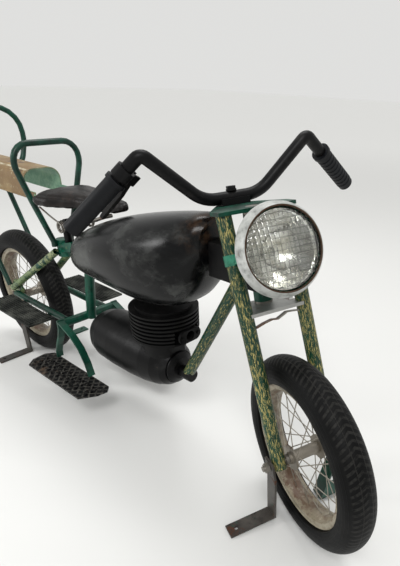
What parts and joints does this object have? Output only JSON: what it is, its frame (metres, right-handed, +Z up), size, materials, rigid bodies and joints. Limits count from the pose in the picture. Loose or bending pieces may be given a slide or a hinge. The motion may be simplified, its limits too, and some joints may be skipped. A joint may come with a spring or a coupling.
{
  "type": "fairground ride motorcycle",
  "caption": "Child's ride-on motorcycle from a fairground carousel: tube frame, tank, dummy engine, sprung saddle, pillion seat, steering fork, spoked wheels and bolt-down feet.",
  "frame": {"origin": "floor point under the centre of the overall box, with the fork standing turned 24.5 degrees to the right as in the picture", "axes": "+X towards the front wheel, +Y to the rider's left, +Z up; the machine's centre plane is at Y = -0.055 m"},
  "size_m": [1.6074, 0.5989, 0.8028],
  "materials": {
    "green_paint": "worn gloss",
    "cream_paint": "chipped, green over cream",
    "black_gloss": "scuffed gloss",
    "black_paint": "satin",
    "ochre_paint": "rusted",
    "pale_paint": "dull",
    "worn_steel": "dull, rust stained",
    "cast_grey": "matt",
    "lamp_rim": "worn",
    "lens_glass": "fluted, dusty",
    "grip_rubber": "satin",
    "mat_rubber": "ribbed",
    "tyre_rubber": "dusty",
    "saddle_leather": "worn, creased"
  },
  "bodies": {
    "frame": {"head_tube": "green_paint", "head_box": "black_paint", "down_tube": "green_paint", "seat_tube": "green_paint", "seat_cluster": "green_paint", "seat_stay_right": "cream_paint", "seat_stay_left": "cream_paint", "chain_stay_right": "green_paint", "chain_stay_left": "green_paint", "cross_tube": "green_paint", "axle_plate_right": "cream_paint", "axle_plate_left": "cream_paint", "tank": "black_gloss", "barrel": "cast_grey", "exhaust_flange": "cast_grey", "crankcase": "black_gloss", "crankcase_nose": "black_paint", "footrest_hangers_right": "green_paint", "footrest_hangers_left": "green_paint", "footrest_plate_right": "black_paint", "footrest_plate_left": "black_paint", "rear_board_right": "mat_rubber", "rear_board_left": "mat_rubber", "front_hoop": "green_paint", "rear_hoop": "green_paint", "pillion_seat": "ochre_paint", "rear_strut_right": "green_paint", "rear_strut_left": "green_paint", "rear_axle": "worn_steel", "rear_foot_right": "green_paint", "rear_foot_left": "green_paint", "saddle_post": "black_paint", "saddle_rails": "worn_steel", "saddle_springs": "worn_steel"},
    "saddle": {"saddle_cover": "saddle_leather"},
    "fork": {"steering_stem": "worn_steel", "top_plate": "black_paint", "lower_yoke": "worn_steel", "fork_leg_right": "cream_paint", "fork_leg_left": "cream_paint", "fork_stay": "worn_steel", "handlebar": "black_gloss", "bar_clamp": "black_paint", "grip_right": "grip_rubber", "grip_left": "grip_rubber", "lever_perch": "black_paint", "front_axle": "worn_steel", "front_foot_right": "worn_steel", "front_foot_left": "green_paint", "lamp_ears": "green_paint"},
    "brake_lever": {"brake_lever": "black_paint"},
    "headlight": {"lamp_shell": "green_paint", "lamp_ring": "lamp_rim", "lamp_lens": "lens_glass"},
    "front_wheel": {"front_tyre": "tyre_rubber", "front_rim": "pale_paint", "front_hub": "worn_steel"},
    "rear_wheel": {"rear_tyre": "tyre_rubber", "rear_rim": "pale_paint", "rear_hub": "worn_steel"}
  },
  "joints": [
    {"name": "steering", "type": "hinge", "parent": "frame", "child": "fork", "pos_m": [0.441, -0.055, 0.5016], "axis": [-0.1994, 0, 0.9799], "range_deg": [-8, 46]},
    {"name": "front_wheel_spin", "type": "hinge", "parent": "fork", "child": "front_wheel", "pos_m": [0.60406, -0.10174, 0.21458], "axis": [0.4064, 0.91, 0.0827], "continuous": true},
    {"name": "rear_wheel_spin", "type": "hinge", "parent": "frame", "child": "rear_wheel", "pos_m": [-0.589, -0.055, 0.215], "axis": [0, 1, 0], "continuous": true},
    {"name": "headlight_tilt", "type": "hinge", "parent": "fork", "child": "headlight", "pos_m": [0.47924, -0.08262, 0.61766], "axis": [0.4064, 0.91, 0.0827], "range_deg": [-8, 8]},
    {"name": "brake_lever_pull", "type": "hinge", "parent": "fork", "child": "brake_lever", "pos_m": [0.22138, -0.18663, 0.7226], "axis": [-0.8156, 0.0269, 0.578], "range_deg": [0, 9], "stiffness_Nm_per_rad": 1.5},
    {"name": "saddle_spring", "type": "hinge", "parent": "frame", "child": "saddle", "pos_m": [-0.077, -0.055, 0.572], "axis": [0, 1, 0], "range_deg": [-3, 0.5], "stiffness_Nm_per_rad": 800, "deforming": ["saddle_springs"]}
  ]
}
